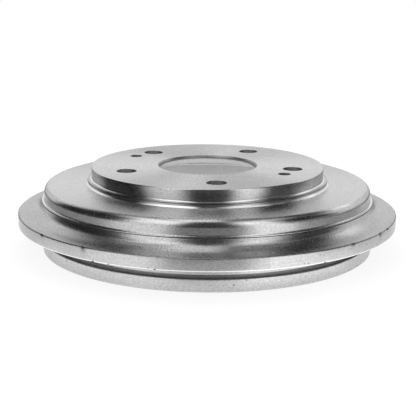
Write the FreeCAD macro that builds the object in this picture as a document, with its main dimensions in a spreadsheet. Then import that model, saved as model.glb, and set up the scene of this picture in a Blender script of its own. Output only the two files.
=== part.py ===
import FreeCAD, Part
import os
import Sketcher
from FreeCAD import Vector

# Rear brake drum of grey cast iron, machined all over: a tall rim with the
# friction surface inside, a flange round it, a web and a raised hat that
# centres on the hub. It stands on its open rim, so heights run up from there.
SIZES = (
    # Friction surface, which everything round it is measured from
    ("friction_radius", 100.0),
    ("friction_height", 34.4),
    ("groove_depth", 1.0),
    ("groove_width", 2.0),
    ("mouth_lead", 1.2),
    # Lip at the open rim and the neck above it, as walls outside the friction surface
    ("lip_wall", 9.7),
    ("lip_height", 7.8),
    ("neck_wall", 5.6),
    # Flange with its flared top, and the ledge where the flare meets the rim
    ("flange_overhang", 17.3),
    ("flange_underside", 17.1),
    ("flange_edge", 8.0),
    ("flange_fall", 0.7),
    ("flare_round", 6.5),
    ("ledge_rise", 7.6),
    ("ledge_width", 1.7),
    # Rim wall with its rounded shoulder, and the web
    ("rim_wall", 8.1),
    ("shoulder_round", 4.5),
    ("web_rise", 0.7),
    ("web_inner_thickness", 4.0),
    ("web_outer_thickness", 6.2),
    # Stud circle and hub bore
    ("bolt_circle_radius", 57.15),
    ("lug_count", 5),
    ("lug_hole_diameter", 12.8),
    ("hub_bore_radius", 32.05),
    ("bore_lead", 1.0),
    ("bore_relief", 3.4),
    # Tapped holes that push the drum off its hub
    ("jack_angle", 54.0),
    ("jack_count", 2),
    ("jack_drill", 6.8),
    ("jack_mouth", 8.4),
    # Hat round the stud circle, with the small step at its foot
    ("hat_margin", 19.85),
    ("hat_rise", 11.4),
    ("hat_wall", 4.5),
    ("plate_thickness", 5.5),
    ("step_width", 2.7),
    ("step_rise", 3.0),
    ("step_foot", 1.2),
    ("edge_break", 0.4),
)

# Radii that follow from the sizes, as expressions of the sheet
GROOVE_RADIUS = "(Sizes.friction_radius + Sizes.groove_depth)"
LIP_RADIUS = "(Sizes.friction_radius + Sizes.lip_wall)"
NECK_RADIUS = "(Sizes.friction_radius + Sizes.neck_wall)"
RIM_RADIUS = "(Sizes.friction_radius + Sizes.rim_wall)"
LEDGE_RADIUS = f"({RIM_RADIUS} + Sizes.ledge_width)"
FLANGE_RADIUS = f"({RIM_RADIUS} + Sizes.flange_overhang)"
HAT_RADIUS = "(Sizes.bolt_circle_radius + Sizes.hat_margin)"
HAT_INNER_RADIUS = f"({HAT_RADIUS} - Sizes.hat_wall)"
STEP_RADIUS = f"({HAT_RADIUS} + Sizes.step_width)"

# Heights that follow from the sizes, from the open rim upwards
FLANGE_TOP = "(Sizes.flange_underside + Sizes.flange_edge)"
FLANGE_ROOT = f"({FLANGE_TOP} + Sizes.flange_fall)"
LEDGE_HEIGHT = f"({FLANGE_ROOT} + Sizes.ledge_rise)"
WEB_UNDERSIDE = "(Sizes.friction_height + Sizes.groove_width)"
WEB_HEIGHT = f"({WEB_UNDERSIDE} + Sizes.web_outer_thickness)"
HAT_FOOT = f"({WEB_HEIGHT} + Sizes.web_rise)"
HAT_FOOT_UNDERSIDE = f"({HAT_FOOT} - Sizes.web_inner_thickness)"
STEP_HEIGHT = f"({HAT_FOOT} + Sizes.step_rise)"
OVERALL_HEIGHT = f"({WEB_HEIGHT} + Sizes.hat_rise)"
PLATE_UNDERSIDE = f"({OVERALL_HEIGHT} - Sizes.plate_thickness)"

# Rounds and the bevel at the foot of the step, each limited by the walls that it joins
FLARE_ROUND = "min(Sizes.flare_round; Sizes.ledge_rise - Sizes.edge_break)"
SHOULDER_ROUND = f"min(Sizes.shoulder_round; ({WEB_HEIGHT} - {LEDGE_HEIGHT}) * 0.7)"
STEP_FOOT = "min(Sizes.step_foot; Sizes.step_rise * 0.5)"

# Outer half section, from the middle of the open end upwards: radius, height and round
OUTSIDE = (
    ("0", "0", None),
    (LIP_RADIUS, "0", None),
    (LIP_RADIUS, "Sizes.lip_height", None),
    (NECK_RADIUS, "Sizes.lip_height", None),
    (NECK_RADIUS, "Sizes.flange_underside", None),
    (FLANGE_RADIUS, "Sizes.flange_underside", None),
    (FLANGE_RADIUS, FLANGE_TOP + " - Sizes.edge_break", None),
    (FLANGE_RADIUS + " - Sizes.edge_break", FLANGE_TOP, None),
    (LEDGE_RADIUS, FLANGE_ROOT, FLARE_ROUND),
    (LEDGE_RADIUS, LEDGE_HEIGHT, None),
    (RIM_RADIUS, LEDGE_HEIGHT, None),
    (RIM_RADIUS, WEB_HEIGHT, SHOULDER_ROUND),
    (STEP_RADIUS + " + " + STEP_FOOT, HAT_FOOT, None),
    (STEP_RADIUS, HAT_FOOT + " + " + STEP_FOOT, None),
    (STEP_RADIUS, STEP_HEIGHT, None),
    (HAT_RADIUS, STEP_HEIGHT, None),
    (HAT_RADIUS, OVERALL_HEIGHT, None),
    ("0", OVERALL_HEIGHT, None),
)

# Hollow: friction surface, groove, underside of the web and inside of the hat
HOLLOW = (
    ("0", "0", None),
    ("Sizes.friction_radius", "0", None),
    ("Sizes.friction_radius", "Sizes.friction_height", None),
    (GROOVE_RADIUS, "Sizes.friction_height", None),
    (GROOVE_RADIUS, WEB_UNDERSIDE, None),
    (HAT_INNER_RADIUS, HAT_FOOT_UNDERSIDE, None),
    (HAT_INNER_RADIUS, PLATE_UNDERSIDE, None),
    ("0", PLATE_UNDERSIDE, None),
)

# Hub bore, cut through the plate
BORE = (
    ("0", PLATE_UNDERSIDE, None),
    ("Sizes.hub_bore_radius", PLATE_UNDERSIDE, None),
    ("Sizes.hub_bore_radius", OVERALL_HEIGHT, None),
    ("0", OVERALL_HEIGHT, None),
)


def make_sheet(document, sizes):
    """Put every driving size in the sheet, under its own name."""
    sheet = document.addObject("Spreadsheet::Sheet", "Sizes")
    for row, (name, size) in enumerate(sizes, start=1):
        sheet.set(f"A{row}", name)
        sheet.set(f"B{row}", str(size))
        sheet.setAlias(f"B{row}", name)
    document.recompute()
    return sheet


def origin_plane(body, role):
    """One of the body's own origin planes."""
    return next(item for item in body.Origin.OriginFeatures if item.Role == role)


def measure(body, expression):
    """Number that an expression of the sheet gives now."""
    return float(body.evalExpression(expression))


def place_point(sketch, body, geometry, point, axis, expression):
    """Hold one end of a line at a bound distance from the origin, along one axis."""
    distance = measure(body, expression)
    if distance == 0:
        line = {"X": -2, "Y": -1}[axis]
        sketch.addConstraint(Sketcher.Constraint("PointOnObject", geometry, point, line))
        return
    index = sketch.addConstraint(Sketcher.Constraint("Distance" + axis, -1, 1, geometry, point, distance))
    sketch.setExpression(f"Constraints[{index}]", expression)


def round_corner(sketch, body, line, size):
    """Round the corner at a line's end by a bound radius, keeping the corner's place."""
    radius = measure(body, size)
    sketch.fillet(line, 2, radius, True, True)
    arc = sketch.GeometryCount - 2
    index = sketch.addConstraint(Sketcher.Constraint("Radius", arc, radius))
    sketch.setExpression(f"Constraints[{index}]", size)


def half_section(body, name, corners):
    """Closed outline on the upright plane, with every corner bound to the sheet."""
    sketch = body.newObject("Sketcher::SketchObject", name)
    sketch.AttachmentSupport = [(origin_plane(body, "XZ_Plane"), "")]
    sketch.MapMode = "FlatFace"
    points = [Vector(measure(body, radius), measure(body, height), 0) for radius, height, _ in corners]
    for start, end in zip(points, points[1:] + points[:1]):
        sketch.addGeometry(Part.LineSegment(start, end))
    count = len(points)
    for line in range(count):
        sketch.addConstraint(Sketcher.Constraint("Coincident", line, 2, (line + 1) % count, 1))
    for line, (radius, height, _) in enumerate(corners):
        place_point(sketch, body, line, 1, "X", radius)
        place_point(sketch, body, line, 1, "Y", height)
    for line, (_, _, size) in enumerate(corners):
        if size:
            round_corner(sketch, body, (line - 1) % count, size)
    body.Document.recompute()
    return sketch


def turn(body, kind, name, corners):
    """Revolve an outline about the drum's axis, to add or to cut."""
    sketch = half_section(body, name + "Section", corners)
    feature = body.newObject("PartDesign::" + kind, name)
    feature.Profile = sketch
    feature.ReferenceAxis = (sketch, ["V_Axis"])
    feature.Angle = 360
    sketch.Visibility = False
    body.Document.recompute()
    return feature


def ring_edges(body, rings):
    """Names of the full circles about the axis at the given radii and heights."""
    wanted = [(measure(body, radius), measure(body, height)) for radius, height in rings]
    names = []
    for number, edge in enumerate(body.Tip.Shape.Edges, start=1):
        if not isinstance(edge.Curve, Part.Circle):
            continue
        centre = edge.Curve.Center
        for radius, height in wanted:
            coaxial = abs(centre.x) + abs(centre.y) < 0.001
            if coaxial and abs(edge.Curve.Radius - radius) + abs(centre.z - height) < 0.001:
                names.append(f"Edge{number}")
    if len(names) != len(wanted):
        raise RuntimeError(f"found {len(names)} of {len(wanted)} rings")
    return names


def break_rings(body, name, size, rings):
    """Chamfer a set of rings by one bound size."""
    names = ring_edges(body, rings)
    base = body.Tip
    feature = body.newObject("PartDesign::Chamfer", name)
    feature.Base = (base, names)
    feature.setExpression("Size", size)
    body.Document.recompute()
    return feature


def hole_sketch(body, name, turned, diameter):
    """One circle on the bolt circle, turned from the front about the axis."""
    sketch = body.newObject("Sketcher::SketchObject", name)
    sketch.AttachmentSupport = [(origin_plane(body, "XY_Plane"), "")]
    sketch.MapMode = "FlatFace"
    sketch.setExpression("AttachmentOffset.Base.z", OVERALL_HEIGHT)
    sketch.setExpression("AttachmentOffset.Rotation.Angle", turned)
    reach = measure(body, "Sizes.bolt_circle_radius")
    radius = measure(body, diameter) / 2
    sketch.addGeometry(Part.Circle(Vector(0, -reach, 0), Vector(0, 0, 1), radius))
    sketch.addConstraint(Sketcher.Constraint("PointOnObject", 0, 3, -2))
    index = sketch.addConstraint(Sketcher.Constraint("DistanceY", 0, 3, -1, 1, reach))
    sketch.setExpression(f"Constraints[{index}]", "Sizes.bolt_circle_radius")
    index = sketch.addConstraint(Sketcher.Constraint("Diameter", 0, 2 * radius))
    sketch.setExpression(f"Constraints[{index}]", diameter)
    body.Document.recompute()
    return sketch


def repeated_hole(body, name, turned, diameter, count, mouth=None):
    """Hole straight through the plate, countersunk if it has a mouth, repeated round the axis."""
    sketch = hole_sketch(body, name + "Circle", turned, diameter)
    hole = body.newObject("PartDesign::Hole", name)
    hole.Profile = sketch
    body.Document.recompute()
    hole.ThreadType = "None"
    hole.DepthType = "ThroughAll"
    hole.DrillPoint = "Flat"
    hole.setExpression("Diameter", diameter)
    if mouth:
        hole.HoleCutType = "Countersink"
        hole.HoleCutCountersinkAngle = 90
        hole.setExpression("HoleCutDiameter", mouth)
    sketch.Visibility = False
    body.Document.recompute()
    pattern = body.newObject("PartDesign::PolarPattern", name + "Pattern")
    pattern.Originals = [hole]
    pattern.Axis = (sketch, ["N_Axis"])
    pattern.Angle = 360
    pattern.setExpression("Occurrences", count)
    body.Tip = pattern
    body.Document.recompute()
    return pattern


document = FreeCAD.newDocument("BrakeDrum")
sheet = make_sheet(document, SIZES)
drum = document.addObject("PartDesign::Body", "Drum")
drum.Label = "brake_drum"
document.recompute()

# The casting's outline, turned all over, the hollow bored from the open end, and the hub bore
turn(drum, "Revolution", "Casting", OUTSIDE)
whole_volume = drum.Tip.Shape.Volume
turn(drum, "Groove", "Hollow", HOLLOW)
turn(drum, "Groove", "HubBore", BORE)

# Broken edges, the lead where the brake shoes enter, and the bore's lead and relief
break_rings(
    drum, "BrokenEdges", "Sizes.edge_break",
    [(FLANGE_RADIUS, "Sizes.flange_underside"), (HAT_RADIUS, OVERALL_HEIGHT)],
)
break_rings(
    drum, "ShoeLead", "min(Sizes.mouth_lead; Sizes.lip_wall * 0.4)", [("Sizes.friction_radius", "0")]
)
break_rings(
    drum, "BoreLead", "min(Sizes.bore_lead; Sizes.plate_thickness * 0.3)",
    [("Sizes.hub_bore_radius", OVERALL_HEIGHT)],
)
break_rings(
    drum, "BoreRelief", "min(Sizes.bore_relief; Sizes.plate_thickness * 0.65)",
    [("Sizes.hub_bore_radius", PLATE_UNDERSIDE)],
)

# Wheel stud holes, and two tapped holes that jack the drum off its hub
before_holes = drum.Tip.Shape.Volume
repeated_hole(drum, "LugHole", "0", "Sizes.lug_hole_diameter", "Sizes.lug_count")
after_lugs = drum.Tip.Shape.Volume
repeated_hole(
    drum, "JackHole", "Sizes.jack_angle", "Sizes.jack_drill", "Sizes.jack_count", "Sizes.jack_mouth"
)
after_jacks = drum.Tip.Shape.Volume

# Nothing is written unless every feature is sound and every cut took metal away
for item in document.Objects:
    if {"Invalid", "Error"} & set(item.State):
        raise RuntimeError(f"{item.Name} is not sound: {item.State}")
if not whole_volume > before_holes > after_lugs > after_jacks > 0:
    raise RuntimeError("a cut removed nothing")
if drum.Shape.isNull() or not drum.Shape.isValid() or len(drum.Shape.Solids) != 1:
    raise RuntimeError("the drum is not one valid solid")

os.makedirs("parts", exist_ok=True)
drum.Shape.exportStep(f"parts/{drum.Label}.step")
box = drum.Shape.BoundBox
print(f"{drum.Label}: {drum.Shape.Volume:.0f} mm3, {box.XLength:.2f} x {box.YLength:.2f} x {box.ZLength:.2f}")
print(f"stands at {box.ZMin:.3f}, {len(drum.Shape.Faces)} faces")
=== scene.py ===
import math
from functools import partial

import bpy
from mathutils import Matrix, Vector


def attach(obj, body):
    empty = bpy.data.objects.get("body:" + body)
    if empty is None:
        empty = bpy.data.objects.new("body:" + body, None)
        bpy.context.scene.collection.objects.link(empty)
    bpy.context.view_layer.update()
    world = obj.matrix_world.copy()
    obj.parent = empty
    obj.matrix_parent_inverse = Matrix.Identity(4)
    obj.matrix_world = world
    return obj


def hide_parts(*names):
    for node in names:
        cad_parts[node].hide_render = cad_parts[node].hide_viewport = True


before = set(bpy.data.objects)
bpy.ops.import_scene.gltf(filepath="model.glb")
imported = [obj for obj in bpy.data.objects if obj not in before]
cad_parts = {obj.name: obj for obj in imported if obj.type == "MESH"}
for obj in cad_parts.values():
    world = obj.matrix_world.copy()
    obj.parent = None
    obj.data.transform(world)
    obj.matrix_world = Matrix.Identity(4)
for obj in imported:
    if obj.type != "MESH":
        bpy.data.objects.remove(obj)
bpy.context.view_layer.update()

# The casting's section. The drum is one grey iron casting, turned all over in a lathe, so its shape
# follows from two outlines: the long one from the edge of the hat's face down the outside, round the
# open rim and up the inside, and the short one down the hub bore. Sizes are in millimetres.
MILLIMETRE = 0.001
FACE_HEIGHT = 54.0
PLATE_UNDERSIDE = 48.5
TURNED_OUTSIDE_AND_INSIDE = (
    # radius, height, size of the round at that corner, or 0 for none
    (75.2, FACE_HEIGHT, 0),        # face of the hat, where the drilled plate takes over
    (77.0, FACE_HEIGHT, 0.5),
    (77.0, 46.0, 0.9),
    (79.6, 46.0, 0.1),
    (79.6, 45.85, 0),              # fine groove where two cuts meet
    (79.1, 45.6, 0),
    (79.7, 45.35, 0),
    (79.7, 44.1, 0.4),
    (80.8, 43.0, 0.6),
    (108.1, 42.6, 4.5),            # web, then the rounded shoulder
    (108.1, 33.15, 0.7),
    (109.7, 33.15, 0.1),           # ledge above the flare, with another fine groove
    (109.7, 32.8, 0),
    (109.2, 32.6, 0),
    (110.0, 32.4, 0),
    (111.5, 29.2, 5.0),
    (117.0, 26.1, 14.0),           # flare, steep at first and then almost flat
    (124.9, 25.1, 0.1),            # flange, with a small bevel on both edges
    (125.4, 24.65, 0.1),
    (125.4, 24.0, 0),              # extra rows, which give the knocks an edge to dent
    (125.4, 23.2, 0),
    (125.4, 19.0, 0),
    (125.4, 18.2, 0),
    (125.4, 17.7, 0.1),
    (124.8, 17.1, 0.1),
    (105.6, 17.1, 2.5),            # neck
    (105.6, 7.8, 1.7),
    (109.7, 7.8, 0.4),             # lip
    (109.7, 0.0, 0.4),
    (101.2, 0.0, 0.15),            # lead into the friction surface
    (100.0, 1.2, 0.15),
    (100.0, 34.4, 0.1),
    (101.0, 34.4, 0.15),           # relief groove
    (101.0, 36.4, 0.3),
    (72.5, 39.3, 0.8),             # underside of the web
    (72.5, PLATE_UNDERSIDE, 3.0),
    (68.6, PLATE_UNDERSIDE, 0),    # inside of the hat, where the drilled plate takes over
)
HUB_BORE = (
    (33.05, FACE_HEIGHT, 0),
    (32.05, 53.0, 0.1),
    (32.05, 51.9, 0.1),
    (35.45, PLATE_UNDERSIDE, 0),
)
WIDE_ROUND = 1.0       # a round above this size is cut into steps of a few degrees
STEP_DEGREES = 9.0
HELD_ROUND = 0.2       # above this one it has a point close before and after, which holds its shape
HOLD = 0.04


def rounded(corners):
    """Points of an outline, with each corner cut into an arc of its own size."""
    points = []
    for index, (radius, height, size) in enumerate(corners):
        corner = Vector((radius, height))
        if size == 0:
            points.append(corner)
            continue
        back = (Vector(corners[index - 1][:2]) - corner).normalized()
        on = (Vector(corners[index + 1][:2]) - corner).normalized()
        opening = back.angle(on)
        reach = size / math.tan(opening / 2)
        centre = corner + (back + on).normalized() * (size / math.sin(opening / 2))
        first = corner + back * reach - centre
        turn = math.copysign(math.pi - opening, first.cross(corner + on * reach - centre))
        if size > WIDE_ROUND:
            count = max(3, math.ceil(abs(math.degrees(turn)) / STEP_DEGREES))
        else:
            count = 4 if size > HELD_ROUND else 2
        if size > HELD_ROUND:
            points.append(corner + back * (reach + HOLD))
        for number in range(count + 1):
            angle = turn * number / count
            arm = Vector((
                first.x * math.cos(angle) - first.y * math.sin(angle),
                first.x * math.sin(angle) + first.y * math.cos(angle),
            ))
            points.append(centre + arm)
        if size > HELD_ROUND:
            points.append(corner + on * (reach + HOLD))
    return points


def placed(name, data):
    """New object in the scene, at the origin, that holds the given data."""
    made = bpy.data.objects.new(name, data)
    bpy.context.scene.collection.objects.link(made)
    return made


def outline_mesh(name, points):
    """Outline as a chain of edges in the upright plane, for a tree to turn about the axis."""
    mesh = bpy.data.meshes.new(name)
    corners = [(p.x * MILLIMETRE, 0, p.y * MILLIMETRE) for p in points]
    mesh.from_pydata(corners, [(i, i + 1) for i in range(len(corners) - 1)], [])
    return placed(name, mesh)


# Holes. Five plain stud holes and two M8 tapped holes that jack the drum off its hub are drilled
# through the hat's plate on the stud circle. Each hole has its own small outline, from top to bottom.
STUD_CIRCLE = 57.15
STUD_COUNT = 5
STUD_HOLE = ((6.65, FACE_HEIGHT), (6.4, 53.75), (6.4, 48.8), (6.7, PLATE_UNDERSIDE))
TAPPED_COUNT = 2
TAPPED_TURN = 54.0     # degrees from the first stud hole to the first tapped one
TAPPED_MOUTH = 4.2
TAPPED_FOOT = 3.7
THREAD_PITCH = 1.25
THREAD_CREST = 3.4
THREAD_ROOT = 4.0
THREAD_TOP = 53.2
THREAD_BOTTOM = 48.8
THREAD_ROWS = 48


def tapped_hole_outline():
    """Countersunk mouth, then close rows down the wall for the tree to press the thread into."""
    points = [Vector((TAPPED_MOUTH, FACE_HEIGHT))]
    for row in range(THREAD_ROWS + 1):
        down = row * (THREAD_TOP - THREAD_BOTTOM) / THREAD_ROWS
        points.append(Vector((THREAD_CREST, THREAD_TOP - down)))
    points.append(Vector((TAPPED_FOOT, PLATE_UNDERSIDE)))
    return points


# Knocks on the flange. Handling has chipped both edges of the flange in a few places; each is a
# shallow dent a few millimetres long. Angle is from the first stud hole, towards the right.
KNOCKS = (
    # degrees, radius, height, reach, depth
    (-58.5, 125.2, 24.9, 1.3, 0.4),
    (-41.0, 125.2, 24.9, 1.6, 0.5),
    (-37.5, 125.2, 17.3, 1.0, 0.3),
    (-33.0, 125.2, 17.3, 0.9, 0.25),
    (-24.0, 125.2, 25.0, 1.0, 0.3),
    (-19.5, 125.2, 17.3, 0.9, 0.25),
    (28.0, 125.2, 17.3, 1.3, 0.4),
    (38.0, 125.2, 24.9, 1.3, 0.4),
    (52.6, 125.2, 24.8, 1.9, 0.6),
    (58.5, 125.2, 24.9, 1.4, 0.5),
    (79.0, 125.2, 24.6, 1.9, 0.7),
    (121.0, 125.2, 25.0, 1.3, 0.4),
    (163.0, 125.2, 17.3, 1.5, 0.4),
    (214.0, 125.2, 25.0, 1.2, 0.4),
    (262.0, 109.6, 0.2, 1.2, 0.3),     # on the lip
)


def knock_points():
    """One loose point for each knock, holding how far it reaches and how deep it goes."""
    mesh = bpy.data.meshes.new("knocks")
    places = []
    for degrees, radius, height, _, _ in KNOCKS:
        angle = math.radians(degrees)
        places.append((
            radius * math.sin(angle) * MILLIMETRE,
            -radius * math.cos(angle) * MILLIMETRE,
            height * MILLIMETRE,
        ))
    mesh.from_pydata(places, [], [])
    for column, name in ((3, "reach"), (4, "depth")):
        values = mesh.attributes.new(name, "FLOAT", "POINT")
        values.data.foreach_set("value", [knock[column] * MILLIMETRE for knock in KNOCKS])
    return placed("knocks", mesh)


# Machined iron. Bare turned iron is bright, with fine marks that run round with the tool and stretch
# reflections across themselves, a cloudy sheen, small open pores and grey specks of graphite. The
# group makes what changes over the surface; each finish sets its own amounts.
MARKS_ACROSS = 2600    # how close the tool marks stand, to the metre
MARKS_ROUND = 70       # and how soon one changes along its own length
CLOUD_SCALE = 55
SPECK_SCALE = 1100
PORE_SCALE = 400
PORE_SIZE = 0.2        # the largest pore, as part of the space it has
PORE_SLOPE = 0.06
# painted shade: a pore's colour is darkened by this share, for the shade inside the hollow
PORE_PAINTED_SHADE = 0.7
CLOUD_ROUGHER = 0.12   # how much each of them roughens the iron
SPECK_ROUGHER = 0.1
PORE_ROUGHER = 0.3
MARK_RELIEF = 0.25     # and how high they stand, where a pore is 1 deep
SPECK_RELIEF = 0.3


def add(tree, kind, wired=None, **settings):
    """Add a node. Wired gives an input its value, or the socket that feeds it."""
    made = tree.nodes.new(kind)
    for name, value in settings.items():
        setattr(made, name, value)
    for name, value in (wired or {}).items():
        if isinstance(value, bpy.types.NodeSocket):
            tree.links.new(value, made.inputs[name])
        else:
            made.inputs[name].default_value = value
    return made


def maths(tree, operation, *values):
    """Result of one step of arithmetic on numbers or sockets."""
    return add(tree, "ShaderNodeMath", dict(enumerate(values)), operation=operation).outputs[0]


def with_shares(tree, start, *shares):
    """Start value with a share of each other value added to it."""
    for value, share in shares:
        start = maths(tree, "ADD", start, maths(tree, "MULTIPLY", value, share))
    return start


def socket(tree, way, name, kind, value=None):
    """Named input or output of a node group."""
    made = tree.interface.new_socket(name=name, in_out=way, socket_type="NodeSocket" + kind)
    if value is not None:
        made.default_value = value


def machined_surface():
    """Colour, roughness and height of iron cut by a tool that runs round the axis."""
    tree = bpy.data.node_groups.new("machined surface", "ShaderNodeTree")
    put, work = partial(add, tree), partial(maths, tree)
    for name, value in (
        ("Shade", 0.56), ("Roughness", 0.3), ("Streaks", 0.05),
        ("Cloud", 0.05), ("Specks", 0.3), ("Pores", 0.5),
    ):
        socket(tree, "INPUT", name, "Float", value)
    socket(tree, "OUTPUT", "Color", "Color")
    socket(tree, "OUTPUT", "Roughness", "Float")
    socket(tree, "OUTPUT", "Height", "Float")
    given = put("NodeGroupInput").outputs
    place = put("ShaderNodeTexCoord").outputs["Object"]
    axes = put("ShaderNodeSeparateXYZ", {0: place}).outputs

    def noise(where, scale, detail, roughness):
        """Noise that is as often below 0 as above it."""
        made = put("ShaderNodeTexNoise", {
            "Vector": where, "Scale": scale, "Detail": detail, "Roughness": roughness
        })
        return work("SUBTRACT", made.outputs[0], 0.5)

    # Tool marks: noise that is fine across the cut and long round it
    square = work("MULTIPLY", axes[0], axes[0])
    radius = work("SQRT", with_shares(tree, square, (axes[1], axes[1])))
    across = put("ShaderNodeCombineXYZ", {
        0: with_shares(tree, work("MULTIPLY", radius, MARKS_ACROSS), (axes[1], MARKS_ROUND)),
        1: work("MULTIPLY", axes[2], MARKS_ACROSS),
        2: work("MULTIPLY", axes[0], MARKS_ROUND),
    }).outputs[0]
    marks = noise(across, 1, 3, 0.6)

    # Cloudy sheen, specks of graphite and open pores
    cloud = noise(place, CLOUD_SCALE, 4, 0.6)
    speck = noise(place, SPECK_SCALE, 3, 0.7)
    pore = put("ShaderNodeTexVoronoi", {
        "Vector": place, "Scale": PORE_SCALE, "Randomness": 1
    }, feature="F1")
    chance = put("ShaderNodeSeparateColor", {0: pore.outputs["Color"]}).outputs[0]
    size = put("ShaderNodeMapRange", {
        "Value": chance, "From Min": 0.5, "From Max": 1.0, "To Min": 0.0, "To Max": PORE_SIZE
    }).outputs[0]
    hollow = put("ShaderNodeMapRange", {
        "Value": work("SUBTRACT", size, pore.outputs["Distance"]),
        "From Min": 0.0, "From Max": PORE_SLOPE, "To Min": 0.0, "To Max": 1.0,
    }).outputs[0]
    hollow = work("MULTIPLY", hollow, given["Pores"])

    shade = with_shares(
        tree, given["Shade"],
        (marks, given["Streaks"]), (cloud, given["Cloud"]), (speck, given["Specks"]),
    )
    # painted shade: the colour is darkened inside each pore
    shade = work("MULTIPLY", shade, work("SUBTRACT", 1.0, work("MULTIPLY", hollow, PORE_PAINTED_SHADE)))
    colour = put("ShaderNodeCombineColor", {0: shade, 1: shade, 2: shade}).outputs[0]
    rough = with_shares(
        tree, given["Roughness"],
        (cloud, CLOUD_ROUGHER), (speck, SPECK_ROUGHER), (hollow, PORE_ROUGHER),
    )
    height = with_shares(tree, work("MULTIPLY", marks, MARK_RELIEF), (speck, SPECK_RELIEF))
    height = work("SUBTRACT", height, hollow)
    put("NodeGroupOutput", {"Color": colour, "Roughness": rough, "Height": height})
    return tree


iron_surface = machined_surface()


def iron(name, shade, edge, roughness, drawn_out, streaks, cloud, specks, pores, relief):
    """One finish of the iron. Drawn_out is how far the marks stretch a reflection across themselves."""
    made = bpy.data.materials.new(name)
    made.use_nodes = True
    tree = made.node_tree
    surface = add(tree, "ShaderNodeGroup", node_tree=iron_surface)
    for key, value in (
        ("Shade", shade), ("Roughness", roughness), ("Streaks", streaks),
        ("Cloud", cloud), ("Specks", specks), ("Pores", pores),
    ):
        surface.inputs[key].default_value = value
    bump = add(tree, "ShaderNodeBump", {
        "Strength": 1.0, "Distance": relief * MILLIMETRE, "Height": surface.outputs["Height"]
    })
    round_axis = add(tree, "ShaderNodeTangent", direction_type="RADIAL", axis="Z")
    skin = tree.nodes["Principled BSDF"]
    skin.inputs["Metallic"].default_value = 1.0
    skin.inputs["Specular Tint"].default_value = (edge, edge, edge, 1)
    skin.inputs["Anisotropic"].default_value = drawn_out
    skin.inputs["Anisotropic Rotation"].default_value = 0.25
    tree.links.new(surface.outputs["Color"], skin.inputs["Base Color"])
    tree.links.new(surface.outputs["Roughness"], skin.inputs["Roughness"])
    tree.links.new(bump.outputs["Normal"], skin.inputs["Normal"])
    tree.links.new(round_axis.outputs["Tangent"], skin.inputs["Tangent"])
    return made


# Apart from the turned one, each finish is lighter or darker in part or in whole as painted highlight or
# painted shade.
FINISHES = {
    # shade, shade at a grazing edge, roughness, drawn out, streaks, cloud, specks, pores, relief in mm
    "turned_iron": (0.54, 0.76, 0.24, 0.83, 0.2, 0.12, 0.6, 1.0, 0.03),
    # the faced surfaces' own finish, with its shade raised as painted light on the hat's face and the
    # web
    "faced_iron_with_painted_light": (0.63, 0.85, 0.28, 0.88, 0.2, 0.12, 0.6, 1.0, 0.03),
    # a duller cut on the flare and the flange's top, its shade lowered as painted shade
    "flared_iron_with_painted_shade": (0.46, 0.86, 0.28, 0.83, 0.2, 0.14, 0.7, 1.2, 0.04),
    # painted highlight: a lighter copy of the iron for the bright lines at the hat's foot, the step, the
    # ledge and the relief groove
    "painted_highlight_iron": (0.68, 1.0, 0.14, 0.7, 0.15, 0.06, 0.3, 0.6, 0.01),
    # painted highlight: near-white, for the lower bevel's reflection of the lit table
    "painted_highlight_bevel_iron": (0.95, 1.0, 0.2, 0.7, 0.1, 0.05, 0.3, 0.5, 0.01),
    # painted shade: a dark, rough copy for the groove under the flange, the two fine grooves and the
    # upper bevel
    "rough_painted_shade_iron": (0.26, 0.6, 0.45, 0.5, 0.1, 0.1, 0.4, 1.0, 0.04),
    # the honed friction surface, its shade raised as painted light against the dark inside of the drum
    "honed_iron_with_painted_light": (0.8, 1.0, 0.42, 0.5, 0.15, 0.05, 0.2, 0.4, 0.01),
    # painted shade: dark walls of the stud holes and the hub bore
    "drilled_painted_shade_iron": (0.3, 0.8, 0.38, 0.3, 0.1, 0.05, 0.12, 0.4, 0.02),
    # painted shade: near black, in the tapped holes and on the broken skin of the knocks
    "deep_painted_shade_iron": (0.12, 0.35, 0.35, 0.3, 0.1, 0.05, 0.12, 0.4, 0.02),
}
irons = {name: iron(name, *amounts) for name, amounts in FINISHES.items()}
# Bands with another finish; most carry painted highlight or painted shade, as the finishes above say.
FINISHED_BANDS = (
    # surface, from radius, to radius, from height, to height, finish
    ("Face", 33.0, 77.0, 53.95, 54.05, "faced_iron_with_painted_light"),
    ("Flare", 109.6, 125.15, 25.0, 32.5, "flared_iron_with_painted_shade"),
    ("Groove", 105.5, 109.4, 7.7, 9.4, "rough_painted_shade_iron"),
    ("Relief groove", 100.0, 102.0, 34.45, 36.6, "painted_highlight_iron"),
    ("Hat foot", 76.95, 77.75, 45.9, 47.0, "painted_highlight_iron"),
    ("Step edge", 79.0, 79.7, 45.75, 46.1, "painted_highlight_iron"),
    ("Step foot", 79.65, 80.6, 42.95, 44.6, "painted_highlight_iron"),
    ("Ledge", 108.45, 109.9, 32.85, 33.4, "painted_highlight_iron"),
    ("Ledge groove", 109.1, 109.95, 32.45, 32.79, "rough_painted_shade_iron"),
    ("Hat foot groove", 79.0, 79.65, 45.4, 45.8, "rough_painted_shade_iron"),
    ("Web", 80.85, 106.5, 42.2, 43.2, "faced_iron_with_painted_light"),
    ("Upper bevel", 124.85, 125.5, 24.6, 25.08, "rough_painted_shade_iron"),
    ("Hub bore", 31.5, 33.04, 48.4, 53.98, "drilled_painted_shade_iron"),
    ("Lower bevel", 124.6, 125.5, 17.0, 17.8, "painted_highlight_bevel_iron"),
    ("Friction surface", 99.9, 100.05, 1.2, 34.4, "honed_iron_with_painted_light"),
)


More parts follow.
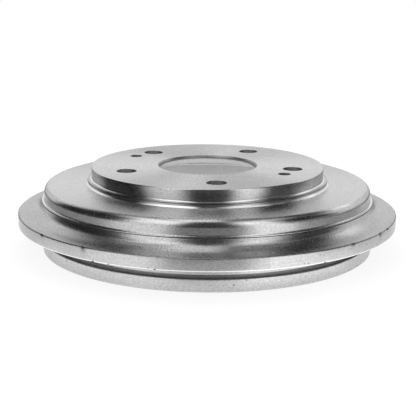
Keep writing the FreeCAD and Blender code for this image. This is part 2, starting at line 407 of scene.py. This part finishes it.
# The drum's own making. One tree turns the outlines about the axis, cuts the plate with its holes
# out of circles, presses the thread and the knocks in, and paints each surface with its finish, several
# of which are painted highlight or painted shade.
ROUND_STEPS = 512
HOLE_STEPS = 48
SEAM_WELD = 2e-6       # metres within which points join, at the seam of a turned surface
PLATE_WELD = 4e-6      # and where the plate meets the turned surfaces
SHARP_BEND = 32        # degrees above which an edge shades sharp
THREAD_FADE = 3        # the thread is full a third of a turn from its ends
RAGGED_SCALE = 900.0   # how fine the edge of a knock is torn
RAGGED_START = 0.6     # noise of about 0.5 comes on top, so a knock ends near its reach
# painted shade: faces deeper in a knock than this take the near-black finish, for the dark side of the
# dent
BROKEN_FROM = 0.4      # how deep in a knock, from 0 to 1, the skin counts as broken
BAND_LIMITS = (
    ("from radius", "GREATER_THAN"), ("to radius", "LESS_THAN"),
    ("from height", "GREATER_THAN"), ("to height", "LESS_THAN"),
)


def sampled(tree, geometry, index, value, kind="FLOAT_VECTOR"):
    """Value that a geometry has at one of its points."""
    return add(tree, "GeometryNodeSampleIndex", {
        "Geometry": geometry, "Index": index, "Value": value
    }, data_type=kind, domain="POINT").outputs["Value"]


def turning_tree():
    """Group that turns an outline about the axis into a closed ring of faces."""
    tree = bpy.data.node_groups.new("turn about the axis", "GeometryNodeTree")
    put, work = partial(add, tree), partial(maths, tree)
    socket(tree, "INPUT", "Outline", "Geometry")
    socket(tree, "INPUT", "Steps", "Int", 64)
    socket(tree, "OUTPUT", "Geometry", "Geometry")
    given = put("NodeGroupInput").outputs
    rows = put("GeometryNodeAttributeDomainSize", {"Geometry": given["Outline"]}).outputs["Point Count"]
    grid = put("GeometryNodeMeshGrid", {
        "Size X": 1.0, "Size Y": 1.0, "Vertices X": work("ADD", given["Steps"], 1), "Vertices Y": rows
    }).outputs["Mesh"]
    index = put("GeometryNodeInputIndex").outputs[0]
    column = work("FLOOR", work("DIVIDE", work("ADD", index, 0.5), rows))
    row = work("SUBTRACT", index, work("MULTIPLY", column, rows))
    here = put("GeometryNodeInputPosition").outputs[0]
    corner = put("ShaderNodeSeparateXYZ", {0: sampled(tree, given["Outline"], row, here)}).outputs
    part = work("FRACT", work("DIVIDE", column, given["Steps"]))
    angle = work("MULTIPLY", part, 2 * math.pi)
    place = put("ShaderNodeCombineXYZ", {
        0: work("MULTIPLY", corner[0], work("COSINE", angle)),
        1: work("MULTIPLY", corner[0], work("SINE", angle)),
        2: corner[2],
    }).outputs[0]
    turned = put("GeometryNodeSetPosition", {"Geometry": grid, "Position": place}).outputs[0]
    closed = put("GeometryNodeMergeByDistance", {"Geometry": turned, "Distance": SEAM_WELD}).outputs[0]
    put("NodeGroupOutput", {"Geometry": closed})
    return tree


def drum_tree():
    """The whole drum, from its outlines, its hole circle and its finishes."""
    turning = turning_tree()
    tree = bpy.data.node_groups.new("brake drum", "GeometryNodeTree")
    put, work = partial(add, tree), partial(maths, tree)
    socket(tree, "INPUT", "Outline", "Geometry")
    for name in ("Hub bore outline", "Stud hole outline", "Tapped hole outline", "Knocks"):
        socket(tree, "INPUT", name, "Object")
    for name, value in (
        ("Steps round", 64), ("Steps round a hole", 24), ("Stud holes", 5), ("Tapped holes", 2)
    ):
        socket(tree, "INPUT", name, "Int", value)
    for name in (
        "Face radius", "Face height", "Underside radius", "Underside height", "Stud circle",
        "Tapped hole turn", "Thread pitch", "Thread depth", "Thread top", "Thread bottom",
    ):
        socket(tree, "INPUT", name, "Float", 0.0)
    # the drilled, threaded and broken finishes are painted shade
    for name in ("Turned finish", "Drilled finish", "Threaded finish", "Broken finish"):
        socket(tree, "INPUT", name, "Material")
    for surface, *_ in FINISHED_BANDS:
        for limit, _ in BAND_LIMITS:
            socket(tree, "INPUT", surface + " " + limit, "Float", 0.0)
        socket(tree, "INPUT", surface + " finish", "Material")
    socket(tree, "OUTPUT", "Geometry", "Geometry")
    given = put("NodeGroupInput").outputs
    here = put("GeometryNodeInputPosition").outputs[0]
    axes = put("ShaderNodeSeparateXYZ", {0: here}).outputs

    def outline_of(name):
        """Outline that is handed in as an object."""
        return put("GeometryNodeObjectInfo", {"Object": given[name]}).outputs["Geometry"]

    def turned(outline, steps):
        """Outline turned about the axis."""
        return put("GeometryNodeGroup", {
            "Outline": outline, "Steps": steps
        }, node_tree=turning).outputs[0]

    def end_radius(outline, last):
        """Radius of an outline's first or last point, so that the plate meets it exactly."""
        count = put("GeometryNodeAttributeDomainSize", {"Geometry": outline}).outputs["Point Count"]
        index = work("SUBTRACT", count, 1) if last else 0
        return put("ShaderNodeSeparateXYZ", {0: sampled(tree, outline, index, here)}).outputs[0]

    def round_the_circle(piece, count, turn):
        """Copies of a piece on the stud circle, the first on -Y turned by an angle."""
        number = put("GeometryNodeInputIndex").outputs[0]
        part = work("MULTIPLY", work("DIVIDE", number, count), 2 * math.pi)
        bearing = work("ADD", part, turn)
        spot = put("ShaderNodeCombineXYZ", {
            0: work("MULTIPLY", work("SINE", bearing), given["Stud circle"]),
            1: work("MULTIPLY", work("COSINE", bearing), work("MULTIPLY", given["Stud circle"], -1)),
        }).outputs[0]
        spots = put("GeometryNodePoints", {"Count": count, "Position": spot}).outputs[0]
        copies = put("GeometryNodeInstanceOnPoints", {"Points": spots, "Instance": piece}).outputs[0]
        return put("GeometryNodeRealizeInstances", {"Geometry": copies}).outputs[0]

    def joined(*parts):
        """Several parts as one geometry."""
        made = put("GeometryNodeJoinGeometry")
        for part in parts:
            tree.links.new(part, made.inputs[0])
        return made.outputs[0]

    def held(value):
        """Value kept between 0 and 1."""
        return work("MINIMUM", work("MAXIMUM", value, 0), 1)

    def vector(operation, wired):
        """Results of one step of arithmetic on vectors."""
        return put("ShaderNodeVectorMath", wired, operation=operation).outputs

    def passes(value, way, limit):
        """Whether a value is greater or less than a limit."""
        made = put("FunctionNodeCompare", {0: value, 1: limit}, data_type="FLOAT", operation=way)
        return made.outputs[0]

    def moved(part, direction, amount):
        """Part with its points moved along a direction."""
        step = vector("NORMALIZE", {0: direction})[0]
        step = vector("SCALE", {0: step, "Scale": amount})[0]
        return put("GeometryNodeSetPosition", {"Geometry": part, "Offset": step}).outputs[0]

    def marked(part, name, where=True):
        """Part with a named mark on its faces, for a finish to find after everything is joined."""
        return put("GeometryNodeStoreNamedAttribute", {
            "Geometry": part, "Name": name, "Value": where
        }, data_type="BOOLEAN", domain="FACE").outputs[0]

    outwards = vector("MULTIPLY", {0: here, 1: (1.0, 1.0, 0.0)})[0]

    # Turned surfaces
    bore_outline = outline_of("Hub bore outline")
    stud_outline = outline_of("Stud hole outline")
    tapped_outline = outline_of("Tapped hole outline")
    casting = turned(given["Outline"], given["Steps round"])
    casting = put("GeometryNodeFlipFaces", {0: casting}).outputs[0]
    bore = turned(bore_outline, given["Steps round"])

    # Thread: the wall of the tapped hole goes out and in along a screw line, and fades at both ends
    lead = work("DIVIDE", work("ARCTAN2", axes[1], axes[0]), 2 * math.pi)
    phase = work("FRACT", work("SUBTRACT", work("DIVIDE", axes[2], given["Thread pitch"]), lead))
    tooth = work("SUBTRACT", 1.0, work("ABSOLUTE", work("SUBTRACT", work("MULTIPLY", phase, 2), 1)))
    below = work("SUBTRACT", given["Thread top"], axes[2])
    above = work("SUBTRACT", axes[2], given["Thread bottom"])
    from_top = work("DIVIDE", below, given["Thread pitch"])
    from_bottom = work("DIVIDE", above, given["Thread pitch"])
    turns_in = work("MINIMUM", from_top, from_bottom)
    fade = held(work("MULTIPLY", turns_in, THREAD_FADE))
    push = work("MULTIPLY", work("MULTIPLY", tooth, fade), given["Thread depth"])
    tapped = moved(turned(tapped_outline, given["Steps round a hole"]), outwards, push)
    stud = turned(stud_outline, given["Steps round a hole"])
    stud_walls = round_the_circle(stud, given["Stud holes"], 0.0)
    tapped_walls = round_the_circle(tapped, given["Tapped holes"], given["Tapped hole turn"])

    # Plate: the two flat faces of the hat, cut out between the edge, the bore and the holes
    def plate_face(edge_radius, height, last):
        """Flat face at a height, meeting the first or the last point of the outlines."""

        def circle(steps, radius):
            """Circle to cut along."""
            return put("GeometryNodeCurvePrimitiveCircle", {
                "Resolution": given[steps], "Radius": radius
            }).outputs[0]

        cuts = [
            circle("Steps round", edge_radius),
            circle("Steps round", end_radius(bore_outline, last)),
        ]
        for outline, count, turn in (
            (stud_outline, given["Stud holes"], 0.0),
            (tapped_outline, given["Tapped holes"], given["Tapped hole turn"]),
        ):
            mouth = circle("Steps round a hole", end_radius(outline, last))
            cuts.append(round_the_circle(mouth, count, turn))
        face = put("GeometryNodeFillCurve", {0: joined(*cuts)}).outputs[0]
        lift = put("ShaderNodeCombineXYZ", {2: height}).outputs[0]
        return put("GeometryNodeTransform", {"Geometry": face, "Translation": lift}).outputs[0]

    face = plate_face(given["Face radius"], given["Face height"], False)
    underside = plate_face(given["Underside radius"], given["Underside height"], True)
    underside = put("GeometryNodeFlipFaces", {0: underside}).outputs[0]
    walls = joined(marked(stud_walls, "drilled"), marked(tapped_walls, "threaded"))
    whole = joined(casting, bore, walls, face, underside)
    whole = put("GeometryNodeMergeByDistance", {"Geometry": whole, "Distance": PLATE_WELD}).outputs[0]

    # Knocks: a point near one is pushed in, towards the axis
    knocks = outline_of("Knocks")
    nearest = put("GeometryNodeSampleNearest", {"Geometry": knocks}, domain="POINT").outputs[0]

    def of_nearest(name):
        """Size that the nearest knock holds."""
        size = put("GeometryNodeInputNamedAttribute", {"Name": name}, data_type="FLOAT").outputs[0]
        return sampled(tree, knocks, nearest, size, "FLOAT")

    there = sampled(tree, knocks, nearest, here)
    ragged = put("ShaderNodeTexNoise", {"Vector": here, "Scale": RAGGED_SCALE, "Detail": 2.0}).outputs[0]
    away = work("DIVIDE", vector("DISTANCE", {0: here, 1: there})["Value"], of_nearest("reach"))
    near = held(work("SUBTRACT", work("ADD", RAGGED_START, ragged), away))
    inwards = vector("SCALE", {0: outwards, "Scale": -1.0})[0]
    whole = moved(whole, inwards, work("MULTIPLY", near, of_nearest("depth")))
    # the deepest part of each knock is marked for painted shade
    whole = marked(whole, "broken", passes(near, "GREATER_THAN", BROKEN_FROM))

    # Shading: smooth over the rounds, sharp where two cuts meet
    bend = put("GeometryNodeInputMeshEdgeAngle").outputs["Unsigned Angle"]
    crisp = passes(bend, "GREATER_THAN", math.radians(SHARP_BEND))
    whole = put("GeometryNodeSetShadeSmooth", {
        "Geometry": whole, "Shade Smooth": True
    }, domain="FACE").outputs[0]
    whole = put("GeometryNodeSetShadeSmooth", {
        "Geometry": whole, "Selection": crisp, "Shade Smooth": False
    }, domain="EDGE").outputs[0]
    whole = put("GeometryNodeRealizeInstances", {"Geometry": whole}).outputs[0]

    # Finishes: one for all, then each band, then the marked faces; many bands and all the marks carry
    # painted highlight or painted shade
    def painted(part, finish, where=True):
        """Part with a finish on the faces that are chosen."""
        return put("GeometryNodeSetMaterial", {
            "Geometry": part, "Selection": where, "Material": given[finish]
        }).outputs[0]

    whole = painted(whole, "Turned finish")
    out = vector("LENGTH", {0: outwards})["Value"]
    for surface, *_ in FINISHED_BANDS:
        within = True
        for (limit, way), value in zip(BAND_LIMITS, (out, out, axes[2], axes[2])):
            inside = passes(value, way, given[surface + " " + limit])
            within = put("FunctionNodeBooleanMath", {0: within, 1: inside}, operation="AND").outputs[0]
        whole = painted(whole, surface + " finish", within)
    for mark in ("drilled", "threaded", "broken"):
        where = put("GeometryNodeInputNamedAttribute", {"Name": mark}, data_type="BOOLEAN").outputs[0]
        whole = painted(whole, mark.capitalize() + " finish", where)
    put("NodeGroupOutput", {"Geometry": whole})
    return tree


bored = outline_mesh("hub_bore_outline", rounded(HUB_BORE))
drilled_once = outline_mesh("stud_hole_outline", [Vector(corner) for corner in STUD_HOLE])
tapped_once = outline_mesh("tapped_hole_outline", tapped_hole_outline())
chipped = knock_points()
section = outline_mesh("section_outline", rounded(TURNED_OUTSIDE_AND_INSIDE))
making = section.modifiers.new("turning", "NODES")
making.node_group = drum_tree()
chosen = {
    "Hub bore outline": bored,
    "Stud hole outline": drilled_once,
    "Tapped hole outline": tapped_once,
    "Knocks": chipped,
    "Steps round": ROUND_STEPS,
    "Steps round a hole": HOLE_STEPS,
    "Stud holes": STUD_COUNT,
    "Tapped holes": TAPPED_COUNT,
    "Face radius": TURNED_OUTSIDE_AND_INSIDE[0][0] * MILLIMETRE,
    "Face height": FACE_HEIGHT * MILLIMETRE,
    "Underside radius": TURNED_OUTSIDE_AND_INSIDE[-1][0] * MILLIMETRE,
    "Underside height": PLATE_UNDERSIDE * MILLIMETRE,
    "Stud circle": STUD_CIRCLE * MILLIMETRE,
    "Tapped hole turn": math.radians(TAPPED_TURN),
    "Thread pitch": THREAD_PITCH * MILLIMETRE,
    "Thread depth": (THREAD_ROOT - THREAD_CREST) * MILLIMETRE,
    "Thread top": THREAD_TOP * MILLIMETRE,
    "Thread bottom": THREAD_BOTTOM * MILLIMETRE,
    "Turned finish": irons["turned_iron"],
    # painted shade in the holes, and on the knocks as their dark side
    "Drilled finish": irons["drilled_painted_shade_iron"],
    "Threaded finish": irons["deep_painted_shade_iron"],
    "Broken finish": irons["deep_painted_shade_iron"],
}
for surface, *sizes, finish in FINISHED_BANDS:
    for (limit, _), size in zip(BAND_LIMITS, sizes):
        chosen[surface + " " + limit] = size * MILLIMETRE
    chosen[surface + " finish"] = irons[finish]
for item in making.node_group.interface.items_tree:
    if item.in_out == "INPUT" and item.name in chosen:
        making[item.identifier] = chosen[item.name]
section.update_tag()
whole = bpy.data.meshes.new_from_object(section.evaluated_get(bpy.context.evaluated_depsgraph_get()))
whole.name = "brake_drum_casting"
if whole.materials[0] is None:
    whole.materials.pop(index=0)  # the empty slot that joining the parts leaves
for spare in (section, bored, drilled_once, tapped_once, chipped):
    bpy.data.objects.remove(spare)
drum = placed("brake_drum_casting", whole)
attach(drum, "root")
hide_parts("brake_drum")


# The table. A sheet of white acrylic, which keeps the drum's soft shadow. Away from the drum it is
# as white as the air around it, so the sheet's edge doesn't show.
TABLE_RADIUS = 1.3
TABLE_SHADE = 0.25
TABLE_GLOW = 0.83            # what the camera sees, over what the lamp lights
MIRRORED_TABLE_GLOW = 0.9


def plain(name, build):
    """Material made of plain shaders by a function that is given its tree and its output."""
    made = bpy.data.materials.new(name)
    made.use_nodes = True
    made.node_tree.nodes.clear()
    end = add(made.node_tree, "ShaderNodeOutputMaterial")
    build(made.node_tree, end.inputs["Surface"])
    return made


def white_table(tree, surface):
    """Matt white that also glows a little, so that only the shadow differs from the air."""
    shade = (TABLE_SHADE, TABLE_SHADE, TABLE_SHADE, 1)
    matt = add(tree, "ShaderNodeBsdfDiffuse", {"Color": shade}).outputs[0]
    ray = add(tree, "ShaderNodeLightPath").outputs
    mirrored = maths(tree, "ADD", ray["Is Glossy Ray"], ray["Is Transmission Ray"])
    seen = maths(tree, "MULTIPLY", ray["Is Camera Ray"], TABLE_GLOW)
    lit = with_shares(tree, seen, (mirrored, MIRRORED_TABLE_GLOW))
    glow = add(tree, "ShaderNodeEmission", {"Color": (1, 1, 1, 1), "Strength": lit}).outputs[0]
    both = add(tree, "ShaderNodeAddShader", {0: matt, 1: glow}).outputs[0]
    tree.links.new(both, surface)


sheet = bpy.data.meshes.new("table")
bearings = [math.radians(angle) for angle in range(0, 360, 5)]
edge = [(math.cos(turn) * TABLE_RADIUS, math.sin(turn) * TABLE_RADIUS, 0.0) for turn in bearings]
sheet.from_pydata(edge, [], [tuple(range(len(edge)))])
sheet.materials.append(plain("white_table", white_table))
table = placed("table", sheet)


# The light. White cloth hangs all round, with black and white cards before it, as is usual for
# bright metal. They shape what the iron mirrors, and neither show nor shade. Angles are in degrees,
# from the camera's side towards the right, and up from the table.
DOME_RADIUS = 1.27
LAYER_GAP = 0.02             # a card of a higher layer stands this much further in
TABLE_GAP = 0.0008           # a card on the table lies this high, and half of it more for each layer
NEAR_START, NEAR_FULL = 0.93, 1.07     # its near edge fades in between these parts of its distance
DOME_FOOT = 0.002            # the dome starts this high
CAMERA_BEARING = 5.7         # the camera stands this far to the left of the first stud hole
ROW_DEGREES = 6
COLUMN_DEGREES = 4
AIR_SHADE = 0.72             # the cloth's light on a surface; seen or mirrored, it is white
LAMP_SHADE = 1.3


def one_shade(shade):
    """Maker of a shader that glows evenly and is clear where the card has no cover."""
    def build(tree, surface):
        glow = add(tree, "ShaderNodeEmission", {"Color": (1, 1, 1, 1), "Strength": shade}).outputs[0]
        clear = add(tree, "ShaderNodeBsdfTransparent").outputs[0]
        cover = add(tree, "ShaderNodeAttribute", attribute_name="cover").outputs["Fac"]
        both = add(tree, "ShaderNodeMixShader", {0: cover, 1: clear, 2: glow}).outputs[0]
        tree.links.new(both, surface)
    return build


def spread(first, last, step):
    """Angles from the first to the last, about a step apart."""
    count = round((last - first) / step)
    return [first + (last - first) * number / count for number in range(count + 1)]


def card(name, layer, left, right, shade, near=None, far=None, low=0, high=None, soft=12):
    """Card between two bearings, lying on the table, standing on the dome, or both, with soft edges."""
    reach = DOME_RADIUS - LAYER_GAP * layer
    rows = []
    if near:
        lift = TABLE_GAP + TABLE_GAP / 2 * layer
        rows += [(near * NEAR_START, lift, 0), (near * NEAR_FULL, lift, 1), (far or reach, lift, 1)]
    if high:
        first = 0 if near else low - soft / 2
        last = 90 if high >= 90 else high + soft / 2
        for angle in spread(first, last, ROW_DEGREES):
            cover = 1 if near else min(1, (angle - first) / soft)
            if high < 90:
                cover = min(cover, (last - angle) / soft)
            lift = math.radians(angle)
            rows.append((reach * math.cos(lift), reach * math.sin(lift) + DOME_FOOT, max(cover, 0)))
    whole_turn = right - left >= 360
    first, last = (left, right) if whole_turn else (left - soft / 2, right + soft / 2)
    columns = spread(first, last, COLUMN_DEGREES)
    points, covers, faces = [], [], []
    for angle in columns:
        across = 1 if whole_turn else max(0, min(1, (angle - first) / soft, (last - angle) / soft))
        bearing = math.radians(angle - CAMERA_BEARING)
        for radius, height, up in rows:
            points.append((radius * math.sin(bearing), -radius * math.cos(bearing), height))
            covers.append(across * up)
    for column in range(len(columns) - 1):
        for row in range(len(rows) - 1):
            corner = column * len(rows) + row
            faces.append((corner, corner + 1, corner + len(rows) + 1, corner + len(rows)))
    mesh = bpy.data.meshes.new(name)
    mesh.from_pydata(points, [], faces)
    mesh.attributes.new("cover", "FLOAT", "POINT").data.foreach_set("value", covers)
    mesh.materials.append(plain(name, one_shade(shade)))
    mesh.materials[0].cycles.emission_sampling = "NONE"
    made = placed(name, mesh)
    made.visible_camera = False
    made.visible_diffuse = False
    made.visible_shadow = False


card("white_right", 1, 8, 62, 1.42, near=0.12, high=24)
card("white_left", 1, -72, -12, 1.28, near=0.12, far=0.27)
card("grey_left", 1, -72, -12, 0.95, near=0.27, high=24)
card("bright_right", 1, 8, 62, 1.85, low=24, high=60)
card("bright_left", 1, -72, -8, 1.7, low=24, high=76)
card("grey_over_right", 1, 8, 62, 0.5, low=60, high=76)
card("grey_table_behind", 1, 100, 239, 0.35, near=0.24)
card("grey_before_camera", 2, -19, 19, 0.42, near=0.178, far=0.25)
card("grey_by_the_lip", 2, -24, 10, 0.72, near=0.132, far=0.15)
card("bright_by_the_lip", 2, 18, 54, 1.75, near=0.132, far=0.165)
card("black_behind_camera", 3, -21, 24, 0.02, near=0.245, high=24)
card("black_over_camera", 3, -20, 23, 0.04, low=20, high=82)
card("black_left", 3, -121, -56, 0.02, near=0.21, high=60)
card("black_table_right", 3, 50, 104, 0.02, near=0.21)
card("black_right", 3, 50, 96, 0.02, low=4, high=60)
card("bright_over_left", 4, -93, -58, 1.7, low=57, high=76)
card("bright_over_right", 4, 38, 91, 1.15, low=57, high=76)
card("black_over_back", 4, 97, 239, 0.03, low=40, high=78)
card("bright_back_right", 5, 126, 139, 2.3, low=30, high=44, soft=6)
card("bright_back_left", 5, 212, 230, 1.2, low=24, high=46)
card("black_overhead", 5, -180, 180, 0.03, low=76, high=90)

lamp = bpy.data.lights.new("soft_box", "AREA")
lamp.shape = "RECTANGLE"
lamp.size = 0.3
lamp.size_y = 1.3
lamp.energy = math.pi * lamp.size * lamp.size_y * LAMP_SHADE
hung = placed("soft_box", lamp)
hung.location = (-0.05, 0.47, 1.05)

world = bpy.data.worlds.new("white_cloth")
bpy.context.scene.world = world
world.use_nodes = True
air = world.node_tree
ray = add(air, "ShaderNodeLightPath").outputs
seen_or_mirrored = add(air, "ShaderNodeMath", {
    0: maths(air, "ADD", ray["Is Camera Ray"], ray["Is Glossy Ray"]), 1: ray["Is Transmission Ray"]
}, operation="ADD", use_clamp=True).outputs[0]
strength = with_shares(air, AIR_SHADE, (seen_or_mirrored, 1 - AIR_SHADE))
cloth = air.nodes["Background"]
cloth.inputs["Color"].default_value = (1, 1, 1, 1)
air.links.new(strength, cloth.inputs["Strength"])


# The camera. It stands 0.74 m away, a little to the left of the first stud hole, and looks 13.5
# degrees down on the drum, as in the photograph.
TURN = math.radians(5.745)
DOWN = math.radians(13.533)
ROLL = math.radians(0.474)
PICTURE_PIXELS = 416
FOCAL_PIXELS = 1093.09
ahead = Vector((math.sin(TURN) * math.cos(DOWN), math.cos(TURN) * math.cos(DOWN), -math.sin(DOWN)))
level = Vector((math.cos(TURN), -math.sin(TURN), 0))
upright = level.cross(ahead)
right = math.cos(ROLL) * level + math.sin(ROLL) * upright
up = math.cos(ROLL) * upright - math.sin(ROLL) * level
lens = bpy.data.cameras.new("camera")
lens.sensor_width = 36.0
lens.lens = FOCAL_PIXELS * lens.sensor_width / PICTURE_PIXELS
camera = placed("camera", lens)
camera.matrix_world = Matrix((right, up, -ahead)).transposed().to_4x4()
camera.location = (-0.07105, -0.71184, 0.19641)
bpy.context.scene.camera = camera
bpy.context.scene.view_settings.view_transform = "Standard"
